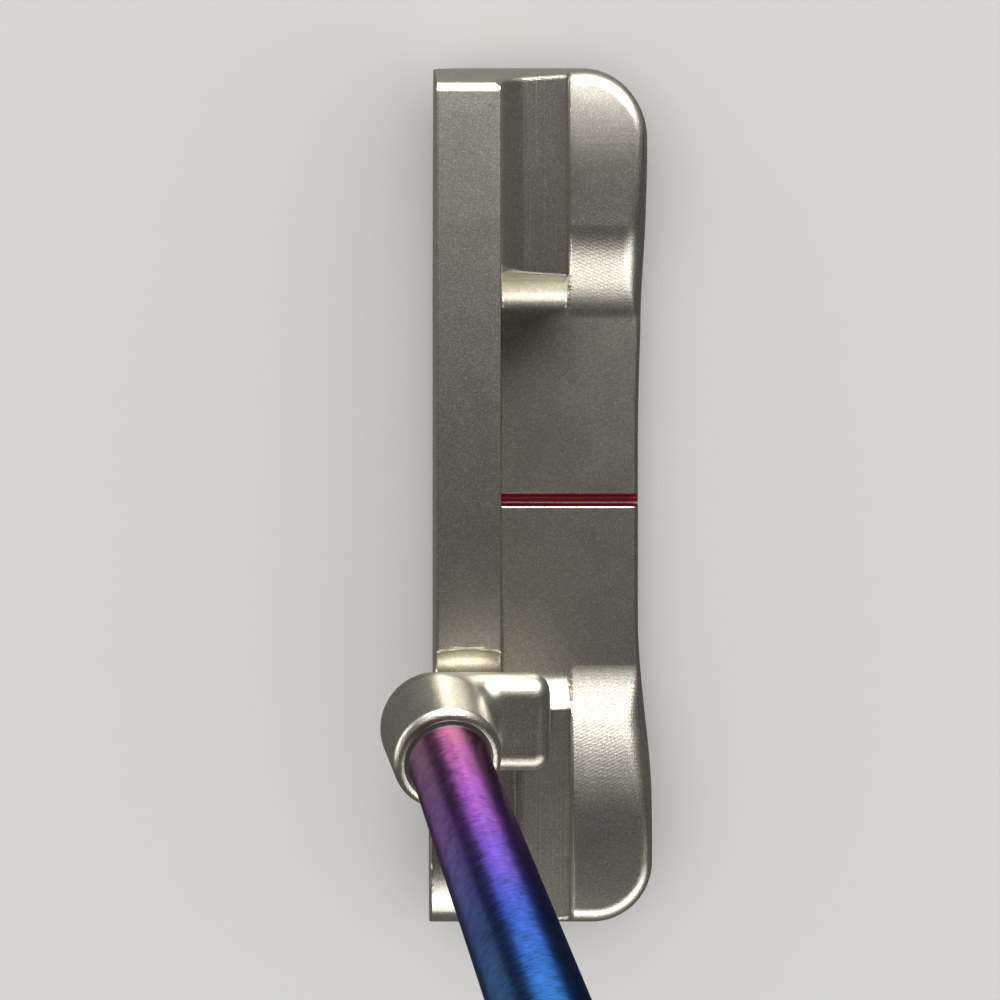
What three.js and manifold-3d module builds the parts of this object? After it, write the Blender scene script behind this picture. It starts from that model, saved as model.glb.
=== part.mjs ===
// Heel-toe weighted blade putter with a plumber's neck, a bonded steel shaft and a pistol grip.
// Units are millimetres. +X points to the heel, the face looks along -Y (the target side) and +Z is up.
// Dimensions along Y are counted from the foot of the face. The finished putter's origin is the
// middle of the sole's flat, in line with the sight line, on the ground.
import * as THREE from 'three';
import { RoundedBoxGeometry } from 'three/addons/geometries/RoundedBoxGeometry.js';
import { LoftGeometry } from 'three/addons/geometries/LoftGeometry.js';
import { mergeVertices } from 'three/addons/utils/BufferGeometryUtils.js';
import Module from 'manifold-3d';

const wasm = await Module();
wasm.setup();

// Blade
const LOFT = THREE.MathUtils.degToRad(3);
const TOPLINE_Z = 25.4;
const BLADE_BACK_Y = 9.97;
const TOE_TOP_X = -54.9;
const TOE_TOP_RADIUS = 1.5;
const TOE_WALL = { topX: -56.0, topZ: 24.2, footX: -59.6, footZ: 12.5 };
const TOE_FOOT = { x: -54.5, z: 3.5 };
const HEEL_TOP_Z = 20.5;
const HEEL_TOP_END_X = 49;
const HEEL_END = { x: 59.4, z: 8 };
const HEEL_FOOT = { x: 54.5, z: 3.5 };

// Sole
const SOLE_FLAT_HALF = 22;
const SOLE_CAMBER_RADIUS = 153.2;
const SOLE_FRONT_Y = 5;
const SOLE_REAR_Y = 24;
const LEADING_EDGE_Z = 2.2;
const TRAILING_EDGE_Z = 4.5;

// Plan outline
const REAR_Y_TOE = 30.3;
const REAR_Y_HEEL = 31.0;
const REAR_Y_WAIST = 29.5;
const TOE_CORNER_RADIUS = 9;
const HEEL_CORNER_RADIUS = 8.3;
const TOE_END_X = -60.4;
const HEEL_END_X = 59.4;

// Bumpers, cavity and flange
const UPPER_BUMPER_TOP_Z = 23;
const UPPER_BUMPER_COVE = 1.5;
const UPPER_BUMPER_REAR_Y = 19.6;
const UPPER_BUMPER_REAR_Z = 15;
const UPPER_BUMPER_SLOPE = 0.65;
const LOWER_BUMPER_Z = 12.4;
const LOWER_BUMPER_END_Z = 9.5;
const LOWER_BUMPER_PEAK_X = 43;
const REAR_EDGE_RADIUS = 3;
const FLOOR_Z = 6.5;
const CAVITY_TOE_X = -30.8;
const CAVITY_HEEL_X = 28.6;
const CAVITY_FILLET = 4.6;
const RAMP_TOP_X = 33;
const RAMP_FOOT_X = 25.5;

// Sight line
const SIGHT_RADIUS = 0.925;
const PAINT_THICKNESS = 0.25;
const PAINT_REAR_Y = 28.6;

// Neck and hosel
const NECK_TOE_X = 22.85;
const NECK_HEEL_X = 33.4;
const NECK_REAR_Y = 16.05;
const NECK_FOOT_Z = 10;
const NECK_TOP_Z = 46.5;
const NECK_EDGE_RADIUS = 2.2;
const NECK_UNDERSIDE_Z = 31.5;
const NOTCH = { x: 23, z: 25.55, endRadius: 2.6, middleRadius: 3.12 };
const HOSEL_MOUTH = new THREE.Vector3(30.7, 3.85, 58);
const HOSEL_MOUTH_RADIUS = 6.45;
const HOSEL_FOOT_RADIUS = 6.8;
const HOSEL_STRAIGHT = 9.8;
const HOSEL_CHAMFER = 0.75;
const BORE_RADIUS = 4.96;
const BORE_DEPTH = 13.2;

// Shaft line
const LIE = THREE.MathUtils.degToRad(72);
const BACK_LEAN = THREE.MathUtils.degToRad(10.9);
const CLUB_LENGTH = 864;
const SHAFT_TIP_RADIUS = 4.7;
const SHAFT_BUTT_RADIUS = 7.35;
const SHAFT_WALL = 0.55;
const SHAFT_TAPER_START = 240;
const SHAFT_TAPER_END = 525;
const SHAFT_FOOT_GAP = 0.4;
const TIP_PLUG_LENGTH = 8;
const CLOSE_FIT = 0.06;
const BOND_THICKNESS = 0.14;

// Grip
const GRIP_LENGTH = 267;
const GRIP_SKIN = 1.5;
const TAPE_THICKNESS = 0.25;
const SOFT_FIT = 0.1;
const NOSE_RING_LENGTH = 6;
const CAP_LENGTH = 5;
const CAP_EDGE = 1.6;
const VENT_RADIUS = 1.3;

// Sole weights
const WEIGHT_X = 43.5;
const WEIGHT_Y = 13.2;
const WEIGHT_RIM_RADIUS = 7.8;
const WEIGHT_RIM_HEIGHT = 1.7;
const WEIGHT_THREAD_RADIUS = 6.4;
const WEIGHT_THREAD_HEIGHT = 5.0;
const WEIGHT_SOCKET_RADIUS = 2.9;
const WEIGHT_SOCKET_DEPTH = 3.2;
const WEIGHT_RECESS = 0.35;
const WEIGHT_CLEARANCE = 0.3;
const WASHER_THICKNESS = 0.9;

const ROUND_SEGMENTS = 40;
const ARC_SEGMENTS = 6;

// Basis matrices that stand a flat shape up: along Y (shape in X and Z) and along X (shape in Y and Z).
const ALONG_Y = new THREE.Matrix4().makeBasis(
  new THREE.Vector3(1, 0, 0),
  new THREE.Vector3(0, 0, 1),
  new THREE.Vector3(0, -1, 0),
);
const ALONG_X = new THREE.Matrix4().makeBasis(
  new THREE.Vector3(0, 1, 0),
  new THREE.Vector3(0, 0, 1),
  new THREE.Vector3(1, 0, 0),
);

// ---------------------------------------------------------------- solids

function toSolid(geometry) {
  geometry.deleteAttribute('normal');
  geometry.deleteAttribute('uv');
  const merged = mergeVertices(geometry, 1e-4);
  return new wasm.Manifold(new wasm.Mesh({
    numProp: 3,
    vertProperties: new Float32Array(merged.attributes.position.array),
    triVerts: new Uint32Array(merged.index.array),
  }));
}

function toGeometry(solid) {
  const mesh = solid.getMesh();
  const geometry = new THREE.BufferGeometry();
  geometry.setAttribute('position', new THREE.BufferAttribute(mesh.vertProperties, 3));
  geometry.setIndex(new THREE.BufferAttribute(mesh.triVerts, 1));
  return geometry;
}

function extruded(shape, depth) {
  return new THREE.ExtrudeGeometry(shape, { depth, bevelEnabled: false, curveSegments: ARC_SEGMENTS });
}

function extrudedAlongY(shape, startY, endY) {
  return toSolid(extruded(shape, endY - startY).applyMatrix4(ALONG_Y).translate(0, endY, 0));
}

function extrudedAlongX(shape, startX, endX) {
  return toSolid(extruded(shape, endX - startX).applyMatrix4(ALONG_X).translate(startX, 0, 0));
}

function extrudedAlongZ(shape, startZ, endZ) {
  return toSolid(extruded(shape, endZ - startZ).translate(0, 0, startZ));
}

// A solid of revolution about +Z from [radius, height] pairs that run from the axis back to the axis,
// or round a closed ring.
function turned(profile, segments = ROUND_SEGMENTS) {
  const points = profile.map(([radius, height]) => new THREE.Vector2(radius, height));
  const lathe = new THREE.LatheGeometry(points, segments);
  return lathe.rotateX(Math.PI / 2);
}

function ringProfile(inner, outer, bottom, top) {
  return [[inner, bottom], [outer, bottom], [outer, top], [inner, top], [inner, bottom]];
}

function faceY(z) {
  return z * Math.tan(LOFT);
}

// ---------------------------------------------------------------- shaft line frame

const shaftDirection = new THREE.Vector3(1 / Math.tan(LIE), Math.tan(BACK_LEAN), 1).normalize();
const shaftSide = new THREE.Vector3(1, 0, 0).projectOnPlane(shaftDirection).normalize();
const shaftFrame = new THREE.Matrix4()
  .makeBasis(shaftSide, new THREE.Vector3().crossVectors(shaftDirection, shaftSide), shaftDirection)
  .setPosition(HOSEL_MOUTH);

// ---------------------------------------------------------------- head

// Front view: cambered sole, leaning toe wall, topline, and the lower heel behind the neck.
function frontOutline() {
  const camber = Math.asin((HEEL_FOOT.x - SOLE_FLAT_HALF) / SOLE_CAMBER_RADIUS);
  const shape = new THREE.Shape();
  shape.moveTo(-SOLE_FLAT_HALF, 0);
  shape.lineTo(SOLE_FLAT_HALF, 0);
  shape.absarc(SOLE_FLAT_HALF, SOLE_CAMBER_RADIUS, SOLE_CAMBER_RADIUS, -Math.PI / 2, -Math.PI / 2 + camber);
  shape.bezierCurveTo(HEEL_FOOT.x + 3.2, HEEL_FOOT.z + 0.8, HEEL_END.x, HEEL_END.z - 2.6, HEEL_END.x, HEEL_END.z);
  shape.bezierCurveTo(HEEL_END.x, 14, HEEL_TOP_END_X + 6, HEEL_TOP_Z, HEEL_TOP_END_X, HEEL_TOP_Z);
  shape.lineTo(NECK_HEEL_X, HEEL_TOP_Z);
  shape.lineTo(NECK_HEEL_X, TOPLINE_Z);
  shape.lineTo(TOE_TOP_X + TOE_TOP_RADIUS, TOPLINE_Z);
  shape.quadraticCurveTo(TOE_TOP_X, TOPLINE_Z, TOE_WALL.topX + 0.4, TOE_WALL.topZ);
  shape.lineTo(TOE_WALL.footX, TOE_WALL.footZ);
  shape.bezierCurveTo(TOE_END_X - 0.4, 9, TOE_FOOT.x - 5.4, TOE_FOOT.z + 0.6, TOE_FOOT.x, TOE_FOOT.z);
  shape.absarc(-SOLE_FLAT_HALF, SOLE_CAMBER_RADIUS, SOLE_CAMBER_RADIUS, -Math.PI / 2 - camber, -Math.PI / 2);
  return shape;
}

// Side view: lofted face, rounded sole edges, and the bumpers' stepped back.
function sideOutline() {
  const bumperZ = (y) => UPPER_BUMPER_REAR_Z + UPPER_BUMPER_SLOPE * (UPPER_BUMPER_REAR_Y - y);
  const coveEndY = BLADE_BACK_Y + UPPER_BUMPER_COVE;
  const shape = new THREE.Shape();
  shape.moveTo(SOLE_FRONT_Y, 0);
  shape.lineTo(SOLE_REAR_Y, 0);
  shape.bezierCurveTo(SOLE_REAR_Y + 3, 0, REAR_Y_HEEL, 1.2, REAR_Y_HEEL, TRAILING_EDGE_Z);
  shape.lineTo(REAR_Y_HEEL, LOWER_BUMPER_Z - REAR_EDGE_RADIUS);
  shape.absarc(REAR_Y_HEEL - REAR_EDGE_RADIUS, LOWER_BUMPER_Z - REAR_EDGE_RADIUS, REAR_EDGE_RADIUS, 0, Math.PI / 2);
  shape.lineTo(UPPER_BUMPER_REAR_Y, LOWER_BUMPER_Z);
  shape.lineTo(UPPER_BUMPER_REAR_Y, UPPER_BUMPER_REAR_Z);
  shape.lineTo(coveEndY, bumperZ(coveEndY));
  shape.quadraticCurveTo(BLADE_BACK_Y, bumperZ(BLADE_BACK_Y), BLADE_BACK_Y, UPPER_BUMPER_TOP_Z);
  shape.lineTo(BLADE_BACK_Y, TOPLINE_Z);
  shape.lineTo(faceY(TOPLINE_Z), TOPLINE_Z);
  shape.lineTo(faceY(LEADING_EDGE_Z), LEADING_EDGE_Z);
  shape.bezierCurveTo(0, LEADING_EDGE_Z / 2, SOLE_FRONT_Y / 3, 0, SOLE_FRONT_Y, 0);
  return shape;
}

// Plan view: straight face side, rounded rear corners and a gently waisted rear edge.
function planOutline() {
  const frontY = -1;
  const shape = new THREE.Shape();
  shape.moveTo(TOE_END_X - 1, frontY);
  shape.lineTo(HEEL_END_X, frontY);
  shape.lineTo(HEEL_END_X, REAR_Y_HEEL - HEEL_CORNER_RADIUS);
  shape.absarc(
    HEEL_END_X - HEEL_CORNER_RADIUS, REAR_Y_HEEL - HEEL_CORNER_RADIUS, HEEL_CORNER_RADIUS, 0, Math.PI / 2);
  shape.lineTo(38, REAR_Y_HEEL);
  shape.bezierCurveTo(28, REAR_Y_HEEL, 24, REAR_Y_WAIST, 16, REAR_Y_WAIST);
  shape.lineTo(-10, REAR_Y_WAIST);
  shape.bezierCurveTo(-25, REAR_Y_WAIST, -38, REAR_Y_TOE, TOE_END_X + TOE_CORNER_RADIUS, REAR_Y_TOE);
  shape.absarc(
    TOE_END_X + TOE_CORNER_RADIUS, REAR_Y_TOE - TOE_CORNER_RADIUS, TOE_CORNER_RADIUS, Math.PI / 2, Math.PI);
  shape.lineTo(TOE_END_X - 1, frontY);
  return shape;
}

// Front-view profile of the air over the flange: level floor, filleted walls at the upper bumpers.
function cavityOutline() {
  const shape = new THREE.Shape();
  shape.moveTo(CAVITY_TOE_X + CAVITY_FILLET, FLOOR_Z);
  shape.lineTo(CAVITY_HEEL_X - CAVITY_FILLET, FLOOR_Z);
  shape.absarc(CAVITY_HEEL_X - CAVITY_FILLET, FLOOR_Z + CAVITY_FILLET, CAVITY_FILLET, -Math.PI / 2, 0);
  shape.lineTo(CAVITY_HEEL_X, TOPLINE_Z + 1);
  shape.lineTo(CAVITY_TOE_X, TOPLINE_Z + 1);
  shape.lineTo(CAVITY_TOE_X, FLOOR_Z + CAVITY_FILLET);
  shape.absarc(CAVITY_TOE_X + CAVITY_FILLET, FLOOR_Z + CAVITY_FILLET, CAVITY_FILLET, Math.PI, Math.PI * 1.5);
  return shape;
}

// The same over the lower bumpers: domed shoulders that ramp down to the floor.
function shoulderOutline() {
  const rampMiddle = (RAMP_TOP_X + RAMP_FOOT_X) / 2;
  const shape = new THREE.Shape();
  shape.moveTo(-RAMP_FOOT_X, FLOOR_Z);
  shape.lineTo(RAMP_FOOT_X, FLOOR_Z);
  shape.bezierCurveTo(rampMiddle, FLOOR_Z, rampMiddle, LOWER_BUMPER_Z - 1, RAMP_TOP_X + 1, LOWER_BUMPER_Z - 0.5);
  shape.quadraticCurveTo(LOWER_BUMPER_PEAK_X, LOWER_BUMPER_Z + 1, HEEL_END_X + 2, LOWER_BUMPER_END_Z);
  shape.lineTo(HEEL_END_X + 2, TOPLINE_Z + 1);
  shape.lineTo(TOE_END_X - 2, TOPLINE_Z + 1);
  shape.lineTo(TOE_END_X - 2, LOWER_BUMPER_END_Z);
  shape.quadraticCurveTo(-LOWER_BUMPER_PEAK_X, LOWER_BUMPER_Z + 1, -RAMP_TOP_X - 1, LOWER_BUMPER_Z - 0.5);
  shape.bezierCurveTo(-rampMiddle, LOWER_BUMPER_Z - 1, -rampMiddle, FLOOR_Z, -RAMP_FOOT_X, FLOOR_Z);
  return shape;
}

// Rectangular post that steps up out of the blade. Its front is flush with the lofted face, its back
// stands on the heel bumper, and its rear toe corner overhangs the cavity.
function neckPost() {
  const frontY = -4;
  const size = new THREE.Vector3(NECK_HEEL_X - NECK_TOE_X, NECK_REAR_Y - frontY, NECK_TOP_Z - NECK_FOOT_Z);
  const block = new RoundedBoxGeometry(size.x, size.y, size.z, 3, NECK_EDGE_RADIUS);
  block.translate((NECK_HEEL_X + NECK_TOE_X) / 2, frontY + size.y / 2, NECK_FOOT_Z + size.z / 2);
  const behindFace = new THREE.Shape([
    new THREE.Vector2(faceY(0), 0),
    new THREE.Vector2(NECK_REAR_Y + 1, 0),
    new THREE.Vector2(NECK_REAR_Y + 1, NECK_TOP_Z + 1),
    new THREE.Vector2(faceY(NECK_TOP_Z + 1), NECK_TOP_Z + 1),
  ]);
  const overCavity = new THREE.Shape([
    new THREE.Vector2(BLADE_BACK_Y, 0),
    new THREE.Vector2(NECK_REAR_Y + 1, 0),
    new THREE.Vector2(NECK_REAR_Y + 1, NECK_UNDERSIDE_Z),
    new THREE.Vector2(BLADE_BACK_Y, NECK_UNDERSIDE_Z),
  ]);
  return toSolid(block)
    .intersect(extrudedAlongX(behindFace, NECK_TOE_X - 1, NECK_HEEL_X + 1))
    .subtract(extrudedAlongX(overCavity, NECK_TOE_X - 1, CAVITY_HEEL_X));
}

// Round hosel on the shaft line, with a spherical foot and a chamfered mouth.
function hosel() {
  const profile = [];
  for (let i = 0; i <= ARC_SEGMENTS; i += 1) {
    const angle = (i / ARC_SEGMENTS) * Math.PI / 2;
    profile.push([
      HOSEL_FOOT_RADIUS * Math.sin(angle),
      -HOSEL_STRAIGHT - HOSEL_FOOT_RADIUS * Math.cos(angle),
    ]);
  }
  profile[0][0] = 0;
  profile.push([HOSEL_MOUTH_RADIUS, -HOSEL_CHAMFER]);
  profile.push([HOSEL_MOUTH_RADIUS - HOSEL_CHAMFER, 0]);
  profile.push([0, 0]);
  return toSolid(turned(profile).applyMatrix4(shaftFrame));
}

function hoselBore() {
  const profile = [[0, -BORE_DEPTH], [BORE_RADIUS, -BORE_DEPTH], [BORE_RADIUS, 5], [0, 5]];
  return toSolid(turned(profile).applyMatrix4(shaftFrame));
}

// Barrel-shaped cutter that scoops the topline where it meets the neck.
function notchCutter() {
  const middleY = (faceY(TOPLINE_Z) + BLADE_BACK_Y) / 2;
  const halfBlade = (BLADE_BACK_Y - faceY(TOPLINE_Z)) / 2;
  const swell = NOTCH.middleRadius - NOTCH.endRadius;
  const profile = [[0, -halfBlade - 2], [NOTCH.endRadius, -halfBlade - 2]];
  for (let i = 0; i <= ARC_SEGMENTS; i += 1) {
    const along = (i / ARC_SEGMENTS) * 2 - 1;
    profile.push([NOTCH.endRadius + swell * (1 - along * along), along * halfBlade]);
  }
  profile.push([NOTCH.endRadius, halfBlade + 2], [0, halfBlade + 2]);
  const cutter = turned(profile, 24).rotateX(Math.PI / 2);
  return toSolid(cutter.translate(NOTCH.x, middleY, NOTCH.z));
}

function sightLineOutline(radius, centreZ) {
  const shape = new THREE.Shape();
  shape.moveTo(radius, centreZ + 1);
  shape.lineTo(-radius, centreZ + 1);
  shape.lineTo(-radius, centreZ);
  shape.absarc(0, centreZ, radius, Math.PI, Math.PI * 2);
  return shape;
}

// Places a solid made about +Z, with its origin on the sole and +Z into the head, at one sole weight.
function weightFrame(side) {
  const tilt = Math.asin((WEIGHT_X - SOLE_FLAT_HALF) / SOLE_CAMBER_RADIUS);
  const soleZ = SOLE_CAMBER_RADIUS * (1 - Math.cos(tilt));
  return new THREE.Matrix4()
    .makeTranslation(side * WEIGHT_X, WEIGHT_Y, soleZ)
    .multiply(new THREE.Matrix4().makeRotationY(-side * tilt));
}

function weightPocket(side) {
  const rim = WEIGHT_RIM_RADIUS + WEIGHT_CLEARANCE;
  const thread = WEIGHT_THREAD_RADIUS + WEIGHT_CLEARANCE;
  const seat = WEIGHT_RECESS + WEIGHT_RIM_HEIGHT + WASHER_THICKNESS + WEIGHT_CLEARANCE;
  const bottom = WEIGHT_RECESS + WEIGHT_RIM_HEIGHT + WEIGHT_THREAD_HEIGHT + WEIGHT_CLEARANCE;
  const profile = [[0, -4], [rim, -4], [rim, seat], [thread, seat], [thread, bottom], [0, bottom]];
  return toSolid(turned(profile).applyMatrix4(weightFrame(side)));
}

function makeHead() {
  const blank = extrudedAlongY(frontOutline(), -2, REAR_Y_HEEL + 1)
    .intersect(extrudedAlongX(sideOutline(), TOE_END_X - 2, HEEL_END_X + 2))
    .intersect(extrudedAlongZ(planOutline(), -1, TOPLINE_Z + 1));
  const overFlange = extrudedAlongY(cavityOutline(), BLADE_BACK_Y, REAR_Y_HEEL + 2);
  const overShoulders = extrudedAlongY(shoulderOutline(), UPPER_BUMPER_REAR_Y, REAR_Y_HEEL + 2);
  const groove = extrudedAlongY(sightLineOutline(SIGHT_RADIUS, FLOOR_Z), BLADE_BACK_Y, REAR_Y_HEEL + 2);
  const solid = blank
    .subtract(overFlange)
    .subtract(overShoulders)
    .add(neckPost())
    .subtract(notchCutter())
    .add(hosel())
    .subtract(hoselBore())
    .subtract(groove)
    .subtract(weightPocket(-1))
    .subtract(weightPocket(1));
  return toGeometry(solid);
}

// Enamel film that lines the sight line, a little below the flange's surface.
function makeSightLinePaint() {
  const outer = SIGHT_RADIUS - CLOSE_FIT;
  const inner = outer - PAINT_THICKNESS;
  const shape = new THREE.Shape();
  shape.moveTo(-outer, FLOOR_Z);
  shape.absarc(0, FLOOR_Z, outer, Math.PI, Math.PI * 2);
  shape.lineTo(inner, FLOOR_Z);
  shape.absarc(0, FLOOR_Z, inner, Math.PI * 2, Math.PI, true);
  return toGeometry(extrudedAlongY(shape, BLADE_BACK_Y + CLOSE_FIT, PAINT_REAR_Y));
}

// ---------------------------------------------------------------- sole weights

function makeSoleWeight() {
  const top = WEIGHT_RIM_HEIGHT + WEIGHT_THREAD_HEIGHT;
  const chamfer = 0.5;
  const body = toSolid(turned([
    [0, 0],
    [WEIGHT_RIM_RADIUS - chamfer, 0],
    [WEIGHT_RIM_RADIUS, chamfer],
    [WEIGHT_RIM_RADIUS, WEIGHT_RIM_HEIGHT],
    [WEIGHT_THREAD_RADIUS, WEIGHT_RIM_HEIGHT],
    [WEIGHT_THREAD_RADIUS, top - chamfer],
    [WEIGHT_THREAD_RADIUS - chamfer, top],
    [0, top],
  ]));
  const socket = new THREE.CylinderGeometry(
    WEIGHT_SOCKET_RADIUS, WEIGHT_SOCKET_RADIUS, WEIGHT_SOCKET_DEPTH * 2, 6).rotateX(Math.PI / 2);
  return toGeometry(body.subtract(toSolid(socket)));
}

function makeWeightWasher() {
  const inner = WEIGHT_THREAD_RADIUS + SOFT_FIT;
  const bottom = WEIGHT_RIM_HEIGHT + SOFT_FIT;
  return turned(ringProfile(inner, WEIGHT_RIM_RADIUS - SOFT_FIT, bottom, bottom + WASHER_THICKNESS));
}

// ---------------------------------------------------------------- shaft

const shaftFoot = -BORE_DEPTH + SHAFT_FOOT_GAP;
const buttEnd = CLUB_LENGTH - HOSEL_MOUTH.z / shaftDirection.z;
const shaftTop = buttEnd - CAP_LENGTH - SOFT_FIT;

function makeShaft() {
  const inside = (radius) => radius - SHAFT_WALL;
  return turned([
    [inside(SHAFT_TIP_RADIUS), shaftFoot],
    [SHAFT_TIP_RADIUS, shaftFoot],
    [SHAFT_TIP_RADIUS, SHAFT_TAPER_START],
    [SHAFT_BUTT_RADIUS, SHAFT_TAPER_END],
    [SHAFT_BUTT_RADIUS, shaftTop],
    [inside(SHAFT_BUTT_RADIUS), shaftTop],
    [inside(SHAFT_BUTT_RADIUS), SHAFT_TAPER_END],
    [inside(SHAFT_TIP_RADIUS), SHAFT_TAPER_START],
    [inside(SHAFT_TIP_RADIUS), shaftFoot],
  ]);
}

function makeTipPlug() {
  const radius = SHAFT_TIP_RADIUS - SHAFT_WALL - CLOSE_FIT;
  return turned([[0, shaftFoot], [radius, shaftFoot], [radius, shaftFoot + TIP_PLUG_LENGTH],
    [0, shaftFoot + TIP_PLUG_LENGTH]]);
}

function makeEpoxy() {
  const inner = SHAFT_TIP_RADIUS + CLOSE_FIT;
  return turned(ringProfile(inner, inner + BOND_THICKNESS, shaftFoot, 0));
}

// ---------------------------------------------------------------- grip

const gripFoot = buttEnd - GRIP_LENGTH;
const skinFoot = gripFoot + NOSE_RING_LENGTH + SOFT_FIT;
const skinTop = buttEnd - CAP_LENGTH - SOFT_FIT;
const tapeOuter = SHAFT_BUTT_RADIUS + CLOSE_FIT + TAPE_THICKNESS;

// Grip section at a fraction of the length: flat thumb face at -x, round back that swells at +x.
const GRIP_STATIONS = [
  { at: 0, halfWidth: 10.2, front: 9.6, back: 10.4 },
  { at: 0.12, halfWidth: 11.0, front: 9.8, back: 11.6 },
  { at: 0.35, halfWidth: 11.9, front: 10.0, back: 13.2 },
  { at: 0.6, halfWidth: 12.4, front: 10.2, back: 14.2 },
  { at: 0.8, halfWidth: 12.8, front: 10.4, back: 16.6 },
  { at: 0.92, halfWidth: 13.2, front: 10.6, back: 20.6 },
  { at: 1, halfWidth: 13.3, front: 10.7, back: 21.6 },
];

function stationAt(fraction) {
  const next = Math.max(1, GRIP_STATIONS.findIndex((station) => station.at >= fraction));
  const low = GRIP_STATIONS[next - 1];
  const high = GRIP_STATIONS[next];
  const blend = THREE.MathUtils.smoothstep(fraction, low.at, high.at);
  return {
    halfWidth: THREE.MathUtils.lerp(low.halfWidth, high.halfWidth, blend),
    front: THREE.MathUtils.lerp(low.front, high.front, blend),
    back: THREE.MathUtils.lerp(low.back, high.back, blend),
  };
}

function gripSection(fraction, inset, z) {
  const { halfWidth, front, back } = stationAt(fraction);
  const points = [];
  const count = 32;
  for (let i = 0; i < count; i += 1) {
    const angle = (i / count) * Math.PI * 2;
    const towardsBack = Math.cos(angle) > 0;
    const reach = (towardsBack ? back : front) - inset;
    const squareness = towardsBack ? 1 : 0.45;
    const x = Math.sign(Math.cos(angle)) * Math.abs(Math.cos(angle)) ** squareness * reach;
    points.push(new THREE.Vector3(x, Math.sin(angle) * (halfWidth - inset), z));
  }
  return points;
}

function loft(sections) {
  const skin = new LoftGeometry(sections, { closed: true, capStart: true, capEnd: true });
  return new THREE.BufferGeometry().copy(skin);
}

// The grip's body, shrunk by inset; overhang lengthens both ends so that it can be used as a cutter.
function gripBody(inset, overhang = 0) {
  const stations = 12;
  const sections = [];
  for (let i = 0; i <= stations; i += 1) {
    const z = THREE.MathUtils.lerp(skinFoot, skinTop, i / stations);
    sections.push(gripSection((z - gripFoot) / GRIP_LENGTH, inset, z));
  }
  if (overhang > 0) {
    const foot = (skinFoot - gripFoot) / GRIP_LENGTH;
    const top = (skinTop - gripFoot) / GRIP_LENGTH;
    sections.unshift(gripSection(foot, inset, skinFoot - overhang));
    sections.push(gripSection(top, inset, skinTop + overhang));
  }
  return toSolid(loft(sections));
}

function makeGripTape() {
  const inner = SHAFT_BUTT_RADIUS + CLOSE_FIT;
  return turned(ringProfile(inner, tapeOuter, gripFoot + 1, shaftTop - 2));
}

function tapeHole(extraRadius) {
  const radius = tapeOuter + extraRadius;
  return toSolid(turned([[0, gripFoot - 5], [radius, gripFoot - 5], [radius, buttEnd + 5], [0, buttEnd + 5]]));
}

function makeGripCover() {
  return toGeometry(gripBody(0).subtract(gripBody(GRIP_SKIN, 2)));
}

function makeGripUnderlisting() {
  return toGeometry(gripBody(GRIP_SKIN + SOFT_FIT).subtract(tapeHole(SOFT_FIT)));
}

function makeGripNoseRing() {
  const edge = 1.2;
  const sections = [
    gripSection(0, edge, gripFoot),
    gripSection(0, 0.3, gripFoot + edge),
    gripSection(0, 0, gripFoot + NOSE_RING_LENGTH),
  ];
  return toGeometry(toSolid(loft(sections)).subtract(tapeHole(SOFT_FIT)));
}

function makeGripButtCap() {
  const sections = [
    gripSection(1, 0, buttEnd - CAP_LENGTH),
    gripSection(1, 0, buttEnd - CAP_EDGE),
    gripSection(1, CAP_EDGE * 0.35, buttEnd - CAP_EDGE * 0.35),
    gripSection(1, CAP_EDGE, buttEnd),
  ];
  const vent = toSolid(turned([[0, buttEnd - 10], [VENT_RADIUS, buttEnd - 10], [VENT_RADIUS, buttEnd + 5],
    [0, buttEnd + 5]], 16));
  return toGeometry(toSolid(loft(sections)).subtract(vent));
}

// ---------------------------------------------------------------- assembly

const satinSteel = new THREE.MeshStandardMaterial({ color: 0x9b968a, roughness: 0.42, metalness: 1 });
const tungsten = new THREE.MeshStandardMaterial({ color: 0x74757a, roughness: 0.3, metalness: 1 });
const redEnamel = new THREE.MeshStandardMaterial({ color: 0xa00a1c, roughness: 0.25, metalness: 0 });
const tintedSteel = new THREE.MeshStandardMaterial({ color: 0x5a3aa0, roughness: 0.3, metalness: 1 });
const epoxy = new THREE.MeshStandardMaterial({ color: 0x2a2522, roughness: 0.4, metalness: 0 });
const blackRubber = new THREE.MeshStandardMaterial({ color: 0x1c1c1e, roughness: 0.7, metalness: 0 });
const foam = new THREE.MeshStandardMaterial({ color: 0x3c3c40, roughness: 0.9, metalness: 0 });
const tape = new THREE.MeshStandardMaterial({ color: 0xd8cfae, roughness: 0.8, metalness: 0 });
const cork = new THREE.MeshStandardMaterial({ color: 0xb08a5a, roughness: 0.9, metalness: 0 });

function part(name, geometry, material) {
  const mesh = new THREE.Mesh(geometry, material);
  mesh.name = name;
  return mesh;
}

function placed(matrix, ...children) {
  const group = new THREE.Group();
  matrix.decompose(group.position, group.quaternion, group.scale);
  group.add(...children);
  return group;
}

function weightGroup(side, end) {
  const seat = weightFrame(side).multiply(new THREE.Matrix4().makeTranslation(0, 0, WEIGHT_RECESS));
  return placed(
    seat,
    part(`${end}_sole_weight`, makeSoleWeight(), tungsten),
    part(`${end}_weight_washer`, makeWeightWasher(), blackRubber),
  );
}

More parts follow.
